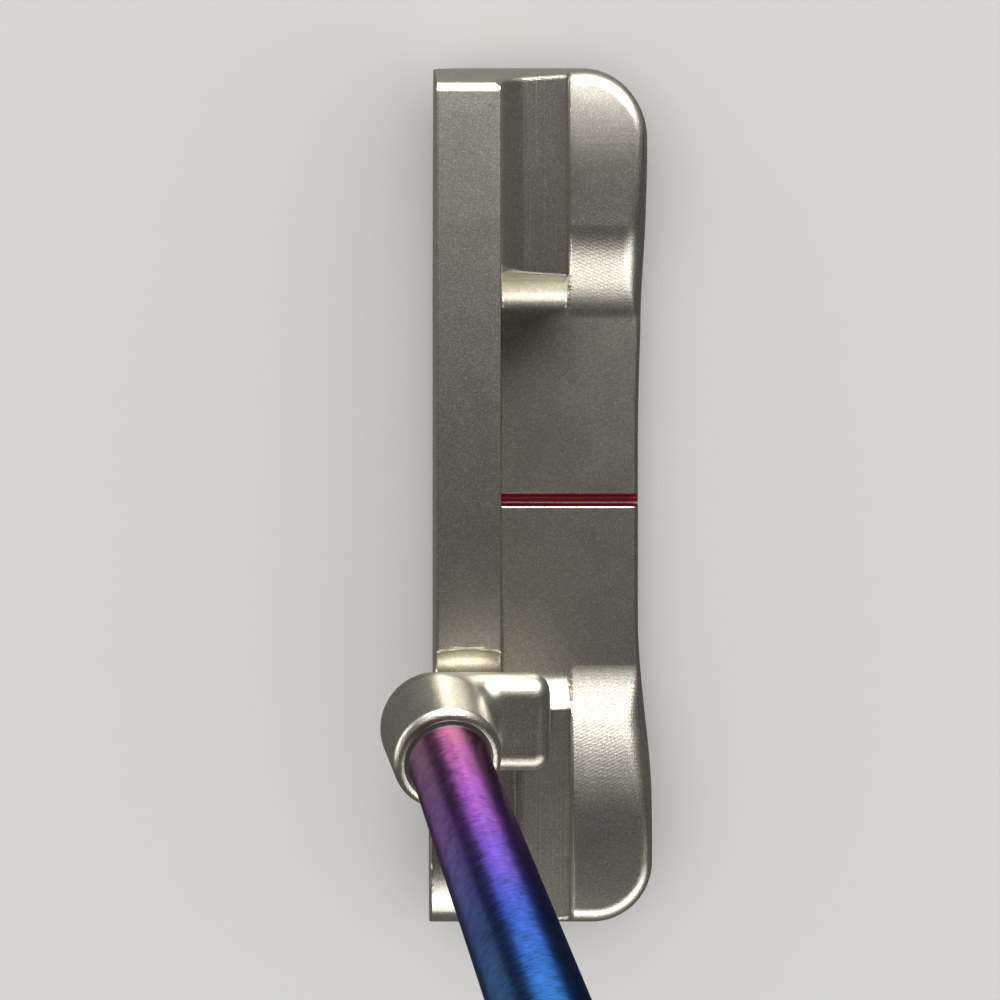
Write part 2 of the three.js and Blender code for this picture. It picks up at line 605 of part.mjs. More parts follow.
const putter = new THREE.Group();
putter.position.y = -(SOLE_FRONT_Y + SOLE_REAR_Y) / 2;
putter.add(
  part('head', makeHead(), satinSteel),
  part('sight_line_paint', makeSightLinePaint(), redEnamel),
  weightGroup(-1, 'toe'),
  weightGroup(1, 'heel'),
  placed(
    shaftFrame,
    part('shaft', makeShaft(), tintedSteel),
    part('shaft_tip_plug', makeTipPlug(), cork),
    part('hosel_epoxy', makeEpoxy(), epoxy),
    part('grip_tape', makeGripTape(), tape),
    part('grip_underlisting', makeGripUnderlisting(), foam),
    part('grip_cover', makeGripCover(), blackRubber),
    part('grip_nose_ring', makeGripNoseRing(), blackRubber),
    part('grip_butt_cap', makeGripButtCap(), blackRubber),
  ),
);

export default putter;
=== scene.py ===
"""Looks for a heel-toe weighted blade putter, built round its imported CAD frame.

The head is meshed from a signed distance function, so that every edge has its real rounding and
every corner its fillet. The other pieces are turned or lofted. Lengths are in millimetres until a
mesh is made, and y is counted from the foot of the face until then, as on a drawing.
"""
import math

import bpy
import numpy as np
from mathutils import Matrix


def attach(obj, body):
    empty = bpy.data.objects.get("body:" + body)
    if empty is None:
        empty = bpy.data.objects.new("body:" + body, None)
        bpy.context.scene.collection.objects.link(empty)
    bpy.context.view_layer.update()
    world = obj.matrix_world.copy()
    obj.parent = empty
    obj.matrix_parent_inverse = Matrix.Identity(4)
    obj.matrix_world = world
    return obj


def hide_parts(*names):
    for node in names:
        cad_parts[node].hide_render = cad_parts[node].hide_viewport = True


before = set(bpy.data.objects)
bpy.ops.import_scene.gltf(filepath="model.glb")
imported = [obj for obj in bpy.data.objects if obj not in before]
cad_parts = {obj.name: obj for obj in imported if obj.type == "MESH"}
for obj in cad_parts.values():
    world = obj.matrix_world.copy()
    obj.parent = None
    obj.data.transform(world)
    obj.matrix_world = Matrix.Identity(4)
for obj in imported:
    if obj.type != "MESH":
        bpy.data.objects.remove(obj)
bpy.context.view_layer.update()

import openvdb
from mathutils import Matrix, Vector

MM = 0.001
SOLE_CENTRE_Y = 14.5                            # from the foot of the face to the row's origin

# ---------------------------------------------------------------- dimensions of the head

LOFT = math.radians(3)
TOPLINE_Z = 25.4
BLADE_BACK_Y = 9.97
TOE_WALL = (-56.0, 24.2, math.radians(17))      # a point on the leaning end wall (x, z), and its lean
HEEL_WALL = (59.6, 8.0, math.radians(12))
HEEL_TOP_Z = 20.5
HEEL_ROLL_X = 48.5
HEEL_ROLL_RADIUS = 13.0
HEEL_PAD = 0.6                                  # the heel stands this far ahead of the milled face

SOLE_FLAT_HALF = 22.0
SOLE_CAMBER_RADIUS = 153.2
SOLE_FRONT_Y = 5.0
SOLE_REAR_Y = 24.0
SOLE_FRONT_ROLL = 18.0                          # a larger roll is a gentler rise past the flat
SOLE_REAR_ROLL = 24.0
SOLE_EDGE_RADIUS = 3.2

REAR_WAIST_Y = 29.5
REAR_TOE_RISE = 0.95
REAR_HEEL_RISE = 1.65
REAR_CORNER_RADIUS = 9.0                        # at the toe; the heel's is a little smaller

BUMPER_REAR_Y = (19.4, 19.85)                   # toe end, heel end
BUMPER_REAR_Z = 15.0
BUMPER_SLOPE = 0.65
BUMPER_COVE = 3.3
SHOULDER_Z = 12.4
# |x| at the ramp's foot and top, how early it rises, and the gentle rise after it
TOE_RAMP = (25.7, 38.7, 1.0, 0.8)
HEEL_RAMP = (23.3, 44.3, 0.75, 0.3)
SHOULDER_EASE = (36.0, 50.0)                    # |x| where the gentle rise starts and ends
# |x| where the shoulder starts to round down, and its radius
TOE_CROWN = (50.0, 75.0)
HEEL_CROWN = (45.0, 120.0)
FLOOR_Z = 6.5
CAVITY_X = (-30.8, 28.6)
CAVITY_FILLET = 4.6

SIGHT_RADIUS = 0.925

NECK_X = (22.85, 33.4)
NECK_REAR_Y = 16.05
NECK_FOOT_Z = 8.0
NECK_TOP_Z = 46.5
NECK_EDGE_RADIUS = 2.2
NECK_CREST_RADIUS = 3.2                         # along the top of the post's toe side
NECK_LEAN = 0.07                                # the toe side leans out as it rises
NECK_UNDERSIDE_Z = 31.5
NECK_FILLET = 1.2
NOTCH = (23.0, 25.55)
NOTCH_RADIUS = (2.6, 3.12)                      # at the ends, in the middle

HOSEL_MOUTH = Vector((30.7, 3.85, 58.0))
HOSEL_MOUTH_RADIUS = 6.45
HOSEL_FOOT_RADIUS = 6.8
HOSEL_STRAIGHT = 9.8
HOSEL_CHAMFER = 0.75
HOSEL_FILLET = 2.4
BORE_RADIUS = 4.96
BORE_DEPTH = 13.2
SHAFT_LINE = Vector((1 / math.tan(math.radians(72)), math.tan(math.radians(10.9)), 1)).normalized()

WEIGHT_PLACE = (43.5, 13.2)
WEIGHT_TILT = math.asin((WEIGHT_PLACE[0] - SOLE_FLAT_HALF) / SOLE_CAMBER_RADIUS)
WEIGHT_SOLE_Z = SOLE_CAMBER_RADIUS * (1 - math.cos(WEIGHT_TILT))
WEIGHT_RECESS = 0.35
POCKET_RADIUS = (8.1, 6.7)                      # round the rim, round the thread
POCKET_DEPTH = (3.25, 7.35)

VOXEL = 0.28
BAND = 3.0                                      # voxels of distance kept on each side of the surface
FLATNESS = 0.0003                               # how far large faces may replace small ones

# ---------------------------------------------------------------- dimensions of the shaft and grip

CLUB_LENGTH = 864.0
BUTT_END = CLUB_LENGTH - HOSEL_MOUTH.z / SHAFT_LINE.z
SHAFT_FOOT = -12.8
SHAFT_TIP_RADIUS = 4.7
SHAFT_BUTT_RADIUS = 7.35
SHAFT_WALL = 0.55
SHAFT_TAPER = (240.0, 525.0)
GRIP_LENGTH = 267.0
GRIP_FOOT = BUTT_END - GRIP_LENGTH
GRIP_SKIN = 1.5
TAPE_RADIUS = (7.41, 7.66)                      # inside, outside
TAPE_HOLE_RADIUS = TAPE_RADIUS[1] + 0.1
SHAFT_TOP = BUTT_END - 5.1
SKIN_FOOT = GRIP_FOOT + 6.1                     # above the nose ring
SKIN_TOP = SHAFT_TOP
GRIP_SEGMENTS = 144
# fraction of the grip's length, half width, reach of the flat thumb face, reach of the round back
GRIP_STATIONS = np.array((
    (0.00, 10.2, 9.6, 10.4),
    (0.12, 11.0, 9.8, 11.6),
    (0.35, 11.9, 10.0, 13.2),
    (0.60, 12.4, 10.2, 14.2),
    (0.80, 12.8, 10.4, 16.6),
    (0.92, 13.2, 10.6, 20.6),
    (1.00, 13.3, 10.7, 21.6),
))

# ---------------------------------------------------------------- studio, in metres

CAMERA_PLACE = (0, -0.00467, 0.3)
CAMERA_LENS = 74.34
SURROUND = 0.92                                 # the even light on matt surfaces
DARKEST = 0.005                                 # the darkest part of the room in shiny surfaces
# x of the direction where a glow starts and is full, and its strength
GLOWS = ((-0.20, -0.95, 0.40), (0.55, 0.97, 0.15))
# the floor's glow as seen in shiny surfaces, a painted reflection in place of its lit look
FLOOR_IN_REFLECTIONS = 0.09
FLOOR_DROP = 0.0003


# ---------------------------------------------------------------- distance functions

def both(a, b, r=0.2):
    """Intersection of two distances, with its outside edge rounded to radius r."""
    edge = np.sqrt(np.maximum(a + r, 0) ** 2 + np.maximum(b + r, 0) ** 2)
    return np.minimum(np.maximum(a, b), -r) + edge


def either(a, b, r=0.2):
    """Union of two distances, with its inside corner filleted to radius r."""
    corner = np.sqrt(np.maximum(r - a, 0) ** 2 + np.maximum(r - b, 0) ** 2)
    return np.maximum(np.minimum(a, b), r) - corner


def cut(a, b, r=0.2):
    return both(a, -b, r)


def smooth_step(value, low, high):
    t = np.clip((value - low) / (high - low), 0, 1)
    return t * t * (3 - 2 * t)


def mix(a, b, t):
    return a + (b - a) * t


def wall(x, z, place, side):
    """Distance outside an end wall that leans in as it rises."""
    px, pz, lean = place
    return side * (x - px) * math.cos(lean) + (z - pz) * math.sin(lean)


def sole_height(x, y):
    beyond = np.maximum(np.abs(x) - SOLE_FLAT_HALF, 0)
    camber = SOLE_CAMBER_RADIUS - np.sqrt(SOLE_CAMBER_RADIUS ** 2 - beyond ** 2)
    front = np.maximum(SOLE_FRONT_Y - y, 0) ** 2 / SOLE_FRONT_ROLL
    rear = np.maximum(y - SOLE_REAR_Y, 0) ** 2 / SOLE_REAR_ROLL
    return camber + front + rear


def rear_edge(x):
    toe = REAR_TOE_RISE * smooth_step(-x, 8, 48)
    heel = REAR_HEEL_RISE * smooth_step(x, 17, 41)
    return REAR_WAIST_Y + toe + heel


def shoulder_height(x):
    """Height of the flange and its domed shoulders, behind the upper bumpers."""
    height = FLOOR_Z
    ends = ((-x, TOE_RAMP, TOE_CROWN), (x, HEEL_RAMP, HEEL_CROWN))
    for reach, (foot, peak, power, ease), (start, radius) in ends:
        ramp = np.clip((reach - foot) / (peak - foot), 0, 1) ** power
        crown = np.maximum(reach - start, 0) ** 2 / (2 * radius)
        steep = (SHOULDER_Z - FLOOR_Z - ease) * ramp * ramp * (3 - 2 * ramp)
        height = height + steep + ease * smooth_step(reach, *SHOULDER_EASE) - crown
    return height


def bumper_rear(x):
    """y of the step from the upper bumpers down to the shoulders."""
    return np.interp(x, (-55, 55), BUMPER_REAR_Y)


def outer_walls(x, y, z):
    """Ends, rear edge and sole, with the rounding that joins them."""
    toe = wall(x, z, TOE_WALL, -1)
    heel = wall(x, z, HEEL_WALL, 1)
    rear = y - rear_edge(x)
    corner = REAR_CORNER_RADIUS - 0.7 * smooth_step(x, -20, 20)
    sides = both(np.maximum(toe, heel), rear, corner)
    sole = (sole_height(x, y) - z) * 0.99
    edge = SOLE_EDGE_RADIUS - 1.2 * smooth_step(np.abs(x), 44, 58)
    return both(sides, sole, edge)


def ceiling(x, z):
    """Distance above the topline, and above the lower heel beyond the neck, which rolls off at its end."""
    past = np.clip(x - HEEL_ROLL_X, 0, HEEL_ROLL_RADIUS * 0.9)
    drop = HEEL_ROLL_RADIUS - np.sqrt(HEEL_ROLL_RADIUS ** 2 - past ** 2)
    heel = (z - HEEL_TOP_Z + drop) * np.sqrt(1 - (past / HEEL_ROLL_RADIUS) ** 2)
    return np.where(x < 30, z - TOPLINE_Z, heel)


def bumpers(x, y, z):
    """The sloped upper bumpers, cut through by the cavity between them."""
    rear_y = bumper_rear(x)
    slope = (z - BUMPER_REAR_Z - BUMPER_SLOPE * (rear_y - y)) / math.hypot(1, BUMPER_SLOPE)
    ends = np.maximum(CAVITY_X[0] - x, x - CAVITY_X[1])
    air = both(ends, FLOOR_Z - z, CAVITY_FILLET)
    return cut(both(slope, y - rear_y, 0.5), air, 0.42)


def top_edge_radius(x, y):
    """Rounding of the top surfaces where they meet the ends and the rear edge."""
    reach = np.abs(x)
    front = mix(1.3, 0.6, smooth_step(y, 9.5, 10.5))
    flange = 0.9 + 2.4 * smooth_step(reach, 23, 33) - 1.5 * smooth_step(reach, 35, 48)
    return mix(front, flange, smooth_step(y, 19, 20.4))


def neck_post(x, y, z):
    """The post of the neck: it stands on the blade and overhangs the cavity."""
    toe = NECK_X[0] - x - NECK_LEAN * (z - TOPLINE_Z)
    top = z - NECK_TOP_Z
    ends = np.maximum(both(toe, top, NECK_CREST_RADIUS), both(x - NECK_X[1], top, NECK_EDGE_RADIUS))
    post = np.maximum(both(ends, y - NECK_REAR_Y, NECK_EDGE_RADIUS), NECK_FOOT_Z - z)
    over_cavity = both(both(BLADE_BACK_Y - y, x - CAVITY_X[1], 1.5), z - NECK_UNDERSIDE_Z, 1.5)
    return cut(post, over_cavity, 0.5)


def along_shaft(x, y, z):
    """Position along the shaft line from the hosel's mouth, and distance from that line."""
    dx = x - HOSEL_MOUTH.x
    dy = y - HOSEL_MOUTH.y
    dz = z - HOSEL_MOUTH.z
    along = dx * SHAFT_LINE.x + dy * SHAFT_LINE.y + dz * SHAFT_LINE.z
    radius = np.sqrt(np.maximum(dx * dx + dy * dy + dz * dz - along * along, 1e-9))
    return along, radius


def hosel(along, radius):
    taper = np.clip(-along / HOSEL_STRAIGHT, 0, 1)
    tube = radius - mix(HOSEL_MOUTH_RADIUS, HOSEL_FOOT_RADIUS, taper)
    foot = np.sqrt(radius ** 2 + (along + HOSEL_STRAIGHT) ** 2) - HOSEL_FOOT_RADIUS
    shell = np.where(along < -HOSEL_STRAIGHT, foot, tube)
    chamfer = (shell + along + HOSEL_CHAMFER) * math.sqrt(0.5)
    return both(both(shell, along, 0.1), chamfer, 0.25)


def weight_pocket(x, y, z, side):
    """The stepped pocket that one sole weight screws into."""
    dx = (x - side * WEIGHT_PLACE[0]) * side
    dz = z - WEIGHT_SOLE_Z
    up = dz * math.cos(WEIGHT_TILT) - dx * math.sin(WEIGHT_TILT)
    across = dx * math.cos(WEIGHT_TILT) + dz * math.sin(WEIGHT_TILT)
    radius = np.sqrt(across ** 2 + (y - WEIGHT_PLACE[1]) ** 2)
    seat = np.maximum(radius - POCKET_RADIUS[0], up - POCKET_DEPTH[0])
    thread = np.maximum(radius - POCKET_RADIUS[1], up - POCKET_DEPTH[1])
    return np.minimum(seat, thread)


def head_distance(x, y, z):
    """Signed distance to the head's surface, negative in the metal."""
    past_cavity = np.maximum(CAVITY_X[0] - x, x - CAVITY_X[1])
    blade = both(ceiling(x, z), y - BLADE_BACK_Y, 0.25)
    cove = 0.35 + (BUMPER_COVE - 0.35) * smooth_step(past_cavity, 0, 0.5)
    body = either(blade, bumpers(x, y, z), cove)
    shoulders = (z - shoulder_height(x)) * (0.93 + 0.07 * smooth_step(np.abs(np.abs(x) - 32), 4, 9))
    front = bumper_rear(x) - 1.2 * smooth_step(past_cavity, 0, 0.3)
    flange = np.minimum(z - FLOOR_Z, both(shoulders, front - y, 0.45))
    body = either(body, flange, 0.5 * smooth_step(past_cavity, 0, 2.5))
    body = np.maximum(body, ceiling(x, z))
    body = both(body, outer_walls(x, y, z), top_edge_radius(x, y))
    body = either(body, neck_post(x, y, z), NECK_FILLET)
    face = (z * math.tan(LOFT) - y) * math.cos(LOFT) - HEEL_PAD * smooth_step(x, 35, 38)
    body = both(body, face, 0.22)
    along, radius = along_shaft(x, y, z)
    body = either(body, hosel(along, radius), HOSEL_FILLET)
    middle = (TOPLINE_Z * math.tan(LOFT) + BLADE_BACK_Y) / 2
    swell = np.maximum(1 - ((y - middle) / (BLADE_BACK_Y - middle)) ** 2, 0)
    notch = np.sqrt((x - NOTCH[0]) ** 2 + (z - NOTCH[1]) ** 2) - mix(*NOTCH_RADIUS, swell)
    body = cut(body, notch, 0.3)
    body = cut(body, np.maximum(radius - BORE_RADIUS, -BORE_DEPTH - along), 0.15)
    below = np.minimum(z - FLOOR_Z, 0)
    groove = np.maximum(np.sqrt(x * x + below * below) - SIGHT_RADIUS, BLADE_BACK_Y - y)
    body = cut(body, np.maximum(groove, z - FLOOR_Z - 3), 0.04)
    for side in (-1, 1):
        body = cut(body, weight_pocket(x, y, z, side), 0.35)
    return body


# ---------------------------------------------------------------- meshes

def mesh_from(name, points, faces, matrix=Matrix()):
    """An object from points in millimetres; faces are arrays of triangles and of quads."""
    mesh = bpy.data.meshes.new(name)
    corners = np.concatenate([f.ravel() for f in faces]).astype(np.int32)
    sizes = np.concatenate([np.full(len(f), f.shape[1]) for f in faces])
    starts = np.concatenate(([0], np.cumsum(sizes)[:-1])).astype(np.int32)
    mesh.vertices.add(len(points))
    mesh.vertices.foreach_set("co", (np.asarray(points) * MM).astype(np.float32).ravel())
    mesh.loops.add(len(corners))
    mesh.loops.foreach_set("vertex_index", corners)
    mesh.polygons.add(len(sizes))
    mesh.polygons.foreach_set("loop_start", starts)
    mesh.update(calc_edges=True)
    mesh.validate()
    mesh.shade_smooth()
    obj = bpy.data.objects.new(name, mesh)
    bpy.context.collection.objects.link(obj)
    placed = matrix.copy()
    placed.translation = (matrix.translation - Vector((0, SOLE_CENTRE_Y, 0))) * MM
    obj.matrix_world = placed
    return obj


def gradient(points, step=0.02):
    """Distance and its gradient at each point, by central differences."""
    columns = []
    for axis in range(3):
        shift = np.zeros(3)
        shift[axis] = step
        ahead = head_distance(*(points + shift).T)
        behind = head_distance(*(points - shift).T)
        columns.append((ahead - behind) / (2 * step))
    return head_distance(*points.T), np.stack(columns, axis=1)


def head_surface():
    """Points and faces of the head: a voxel mesh, with every point moved onto the exact surface."""
    low = (-61.5, -6.0, -0.6)
    high = (60.6, 32.0, 61.0)
    x, y, z = (np.arange(a, b, VOXEL) for a, b in zip(low, high))
    distance = head_distance(x[:, None, None], y[None, :, None], z[None, None, :]) / VOXEL
    grid = openvdb.FloatGrid(background=BAND)
    grid.copyFromArray(np.clip(distance, -BAND, BAND).astype(np.float32))
    points, triangles, quads = grid.convertToPolygons(isovalue=0.0, adaptivity=FLATNESS)
    points = points.astype(float) * VOXEL + np.array(low)
    for _ in range(3):
        distance, slope = gradient(points)
        length = np.maximum((slope ** 2).sum(axis=1), 0.05)
        move = np.clip(distance / length, -0.6 * VOXEL, 0.6 * VOXEL)
        points -= slope * move[:, None]
    return points, triangles[:, ::-1], quads[:, ::-1]


def soften(obj, points):
    """Exact normals, except on large faces beside a rounded edge, which stay flat."""
    mesh = obj.data
    _, slope = gradient(points)
    slope /= np.maximum(np.linalg.norm(slope, axis=1), 1e-6)[:, None]
    corners = np.empty(len(mesh.loops), dtype=np.int32)
    mesh.loops.foreach_get("vertex_index", corners)
    sizes = np.empty(len(mesh.polygons), dtype=np.int32)
    mesh.polygons.foreach_get("loop_total", sizes)
    flat = np.empty(len(mesh.polygons) * 3, dtype=np.float32)
    mesh.polygons.foreach_get("normal", flat)
    area = np.empty(len(mesh.polygons), dtype=np.float32)
    mesh.polygons.foreach_get("area", area)
    flat = np.repeat(flat.reshape(-1, 3), sizes, axis=0)
    size = np.repeat(np.sqrt(area) / (MM * VOXEL), sizes)
    exact = slope[corners]
    limit = np.cos(np.radians(np.clip(60 / np.maximum(size, 0.1) ** 1.5, 11, 40)))
    bent = (exact * flat).sum(axis=1) < limit
    mesh.normals_split_custom_set(np.where(bent[:, None], flat, exact))


def grid_faces(rows, columns, wrap=True):
    """Quads between consecutive rows of points; each row closes on itself if wrap is set."""
    r, c = np.meshgrid(np.arange(rows - 1), np.arange(columns if wrap else columns - 1), indexing="ij")
    r, c = r.ravel(), c.ravel()
    d = (c + 1) % columns
    return np.stack((r * columns + c, r * columns + d, (r + 1) * columns + d, (r + 1) * columns + c), axis=1)


def closed_loft(name, rows, matrix, sharp=32):
    """Joins rows of points into a closed skin: the last row is joined to the first."""
    rows = np.asarray(rows)
    count, columns = rows.shape[:2]
    faces = grid_faces(count + 1, columns) % (count * columns)
    obj = mesh_from(name, rows.reshape(-1, 3), [faces], matrix)
    obj.data.set_sharp_from_angle(angle=math.radians(sharp))
    return obj


def rounded(profile, radius, steps=5):
    """A closed profile of (radius, height) pairs with its corners rounded."""
    profile = [Vector(p) for p in profile]
    out = []
    for i, corner in enumerate(profile):
        before = profile[i - 1] - corner
        after = profile[(i + 1) % len(profile)] - corner
        reach = min(radius, before.length * 0.45, after.length * 0.45)
        start = corner + before.normalized() * reach
        end = corner + after.normalized() * reach
        for s in range(steps + 1):
            t = s / steps
            out.append(start * (1 - t) ** 2 + corner * 2 * t * (1 - t) + end * t * t)
    return out


def turned(name, profile, matrix, segments=96, shape=None):
    """A closed profile turned about the local z axis; shape changes a radius at an angle and height."""
    angle = np.arange(segments) / segments * 2 * math.pi
    rows = []
    for radius, height in profile:
        at = np.full(segments, float(radius))
        if shape:
            at = shape(at, angle, height)
        rows.append(np.stack((at * np.cos(angle), at * np.sin(angle), np.full(segments, height)), axis=1))
    return closed_loft(name, rows, matrix)


def shaft_frame():
    side = (Vector((1, 0, 0)) - SHAFT_LINE * SHAFT_LINE.x).normalized()
    matrix = Matrix((side, SHAFT_LINE.cross(side), SHAFT_LINE)).transposed().to_4x4()
    matrix.translation = HOSEL_MOUTH
    return matrix


def weight_frame(side):
    matrix = Matrix.Translation((side * WEIGHT_PLACE[0], WEIGHT_PLACE[1], WEIGHT_SOLE_Z))
    matrix = matrix @ Matrix.Rotation(-side * WEIGHT_TILT, 4, "Y")
    return matrix @ Matrix.Translation((0, 0, WEIGHT_RECESS))


# ---------------------------------------------------------------- materials

class Look:
    """A node material under construction. Positions are the object's own, in millimetres."""

    def __init__(self, name):
        self.material = bpy.data.materials.new(name)
        self.material.use_nodes = True
        self.tree = self.material.node_tree
        self.shader = self.tree.nodes["Principled BSDF"]
        position = self.add("ShaderNodeTexCoord").outputs["Object"]
        self.place = self.vector("SCALE", position, Scale=1000.0)
        parts = self.add("ShaderNodeSeparateXYZ", Vector=self.place)
        self.x, self.y, self.z = parts.outputs

    def add(self, kind, settings=None, **inputs):
        node = self.tree.nodes.new(kind)
        for key, value in (settings or {}).items():
            setattr(node, key, value)
        for key, value in inputs.items():
            self.plug(node.inputs[key.replace("_", " ")], value)
        return node

    def plug(self, socket, value):
        if isinstance(value, bpy.types.NodeSocket):
            self.tree.links.new(value, socket)
        else:
            socket.default_value = value

    def math(self, operation, *values, clamp=False):
        node = self.add("ShaderNodeMath", {"operation": operation, "use_clamp": clamp})
        for socket, value in zip(node.inputs, values):
            self.plug(socket, value)
        return node.outputs[0]

    def plus(self, *values):
        total = values[0]
        for value in values[1:]:
            total = self.math("ADD", total, value)
        return total

    def times(self, *values):
        total = values[0]
        for value in values[1:]:
            total = self.math("MULTIPLY", total, value)
        return total

    def vector(self, operation, a, b=None, **inputs):
        node = self.add("ShaderNodeVectorMath", {"operation": operation}, **inputs)
        self.plug(node.inputs[0], a)
        if b is not None:
            self.plug(node.inputs[1], b)
        return node.outputs["Value" if operation == "DOT_PRODUCT" else "Vector"]

    def step(self, value, low, high):
        """0 below low, 1 above high, smooth between."""
        node = self.add("ShaderNodeMapRange", {"interpolation_type": "SMOOTHSTEP"}, Value=value)
        node.inputs["From Min"].default_value = low
        node.inputs["From Max"].default_value = high
        return node.outputs["Result"]

    def noise(self, scale, detail=2.0, stretch=(1, 1, 1), roughness=0.5):
        """Noise centred on 0; scale is in features a millimetre."""
        vector = self.vector("MULTIPLY", self.place, stretch)
        node = self.add("ShaderNodeTexNoise", Vector=vector, Scale=scale, Detail=detail, Roughness=roughness)
        return self.math("SUBTRACT", node.outputs[0], 0.5)

    def ramp(self, factor, *stops):
        """Colour ramp through (position, colour) stops."""
        node = self.add("ShaderNodeValToRGB", Fac=factor)
        elements = node.color_ramp.elements
        for element, (position, colour) in zip(elements, (stops[0], stops[-1])):
            element.position = position
            element.color = (*colour, 1)
        for position, colour in stops[1:-1]:
            elements.new(position).color = (*colour, 1)
        return node.outputs["Color"]

    def blend(self, factor, a, b):
        node = self.add("ShaderNodeMix", {"data_type": "RGBA"})
        self.plug(node.inputs["Factor"], factor)
        for socket, value in ((node.inputs[6], a), (node.inputs[7], b)):
            self.plug(socket, value if isinstance(value, bpy.types.NodeSocket) else (*value, 1))
        return node.outputs[2]

    def finish(self, colour, roughness, height=None, **others):
        """Height is in millimetres."""
        self.plug(self.shader.inputs["Base Color"], colour)
        self.plug(self.shader.inputs["Roughness"], roughness)
        for key, value in others.items():
            self.plug(self.shader.inputs[key.replace("_", " ")], value)
        if height is not None:
            bump = self.add("ShaderNodeBump", Height=height, Distance=MM)
            self.plug(self.shader.inputs["Normal"], bump.outputs["Normal"])
        return self.material


def satin_steel():
    look = Look("satin_steel")
    x, y, z = look.x, look.y, look.z
    reach = look.math("ABSOLUTE", x)
    blast = look.noise(5.5, 3, roughness=0.7)
    cloud = look.noise(0.22, 3)

    on_bumper = look.times(
        look.step(reach, 28.4, 29.0),
        look.step(y, 9.9, 10.6),
        look.step(look.times(y, -1.0), -19.7, -19.3),
        look.step(z, 13.0, 14.0),
    )
    cutter_lines = look.noise(3.4, 2, stretch=(0.02, 1, 1))

    on_ramp = look.times(
        look.step(y, 19.2, 19.9),
        look.step(reach, 24.5, 28.5),
        look.step(look.times(reach, -1.0), -47, -36),
        look.step(z, 6.4, 7.5),
    )
    diagonal = look.plus(look.times(reach, 0.91), look.times(y, 0.42), look.times(cloud, 0.5))
    counter = look.plus(look.times(reach, 0.95), look.times(y, -0.24))
    hatch = look.plus(
        look.math("SINE", look.times(diagonal, 2 * math.pi / 0.42)),
        look.times(look.math("SINE", look.times(counter, 2 * math.pi / 0.55)), 0.5),
    )

    on_rear_edge = look.times(
        look.step(y, 26.9, 27.4),
        look.step(reach, 26, 28),
        look.step(look.times(reach, -1.0), -42, -35),
        look.step(z, 6.0, 7.0),
    )
    ticks = look.math("SINE", look.plus(look.times(x, 2 * math.pi / 0.5), look.times(cloud, 6.0)))

    ahead = look.math("SUBTRACT", y, look.times(z, math.tan(LOFT)))
    on_face = look.times(
        look.step(look.times(ahead, -1.0), -0.25, -0.08),
        look.step(look.times(reach, -1.0), -54, -52),
        look.step(look.times(z, -1.0), -25.2, -24.8),
    )
    drop = look.math("ADD", z, 70.0)
    sweep = look.math("SQRT", look.plus(look.times(x, x), look.times(drop, drop)))
    face_arcs = look.math("SINE", look.times(sweep, 2 * math.pi / 0.9))

    height = look.plus(
        look.times(blast, 0.014),
        look.times(cutter_lines, on_bumper, 0.03),
        look.times(hatch, on_ramp, look.math("SUBTRACT", 1.0, on_rear_edge), 0.0020),
        look.times(ticks, on_rear_edge, 0.0016),
        look.times(face_arcs, on_face, 0.004),
    )
    fleck = look.add("ShaderNodeTexVoronoi", Vector=look.place, Scale=9.0)
    fleck = look.step(look.add("ShaderNodeSeparateColor", Color=fleck.outputs["Color"]).outputs[0], 0.55, 1.0)
    shade = look.plus(
        0.28,
        look.times(fleck, 0.7),
        look.times(cloud, 0.12),
        look.times(cutter_lines, on_bumper, 0.8),
        look.times(hatch, on_ramp, 0.06),
        # painted shade: the upper bumpers are painted darker, standing in for the side light that falls short
        # of them
        look.times(on_bumper, -0.35),
    )
    colour = look.blend(look.math("MAXIMUM", shade, 0.0), (0.40, 0.385, 0.335), (0.74, 0.72, 0.635))
    roughness = look.plus(0.35, look.times(blast, 0.18), look.times(cloud, 0.03), look.times(on_bumper, 0.03))
    return look.finish(colour, roughness, height, Metallic=1.0)


def tinted_steel():
    look = Look("tinted_steel")
    along = look.z
    tint = look.ramp(
        look.math("DIVIDE", look.plus(along, look.times(look.noise(0.12, 2), 9.0)), 600.0),
        (0.000, (0.27, 0.085, 0.17)),
        (0.012, (0.23, 0.065, 0.20)),
        (0.030, (0.19, 0.055, 0.26)),
        (0.050, (0.105, 0.050, 0.31)),
        (0.072, (0.026, 0.056, 0.28)),
        (0.110, (0.014, 0.10, 0.27)),
        (0.300, (0.014, 0.16, 0.27)),
        (0.600, (0.022, 0.09, 0.31)),
        (0.850, (0.08, 0.04, 0.29)),
        (1.000, (0.12, 0.032, 0.27)),
    )
    streak = look.noise(2.4, 3, stretch=(0.35, 0.35, 2.2), roughness=0.7)
    mottle = look.noise(0.6, 3)
    # painted sheen: the side of the shaft towards the face is painted greyer, in place of its reflection of
    # the face-side light
    painted_sheen_flank = look.step(look.times(look.y, -1.0), 1.2, 4.4)
    colour = look.vector("ADD", tint, look.vector("SCALE", (0.05, 0.075, 0.07), Scale=painted_sheen_flank))
    strength = look.plus(0.72, look.times(streak, 1.6), look.times(mottle, 0.5))
    colour = look.vector("SCALE", colour, Scale=strength)
    roughness = look.plus(0.45, look.times(streak, 0.3), look.times(mottle, 0.1))
    height = look.plus(look.times(streak, 0.006), look.times(look.noise(5.0, 2), 0.002))
    round_axis = look.add("ShaderNodeTangent", {"direction_type": "RADIAL", "axis": "Z"}).outputs["Tangent"]
    return look.finish(colour, roughness, height, Metallic=1.0, Tangent=round_axis, Anisotropic=0.9,
                       Anisotropic_Rotation=0.25)


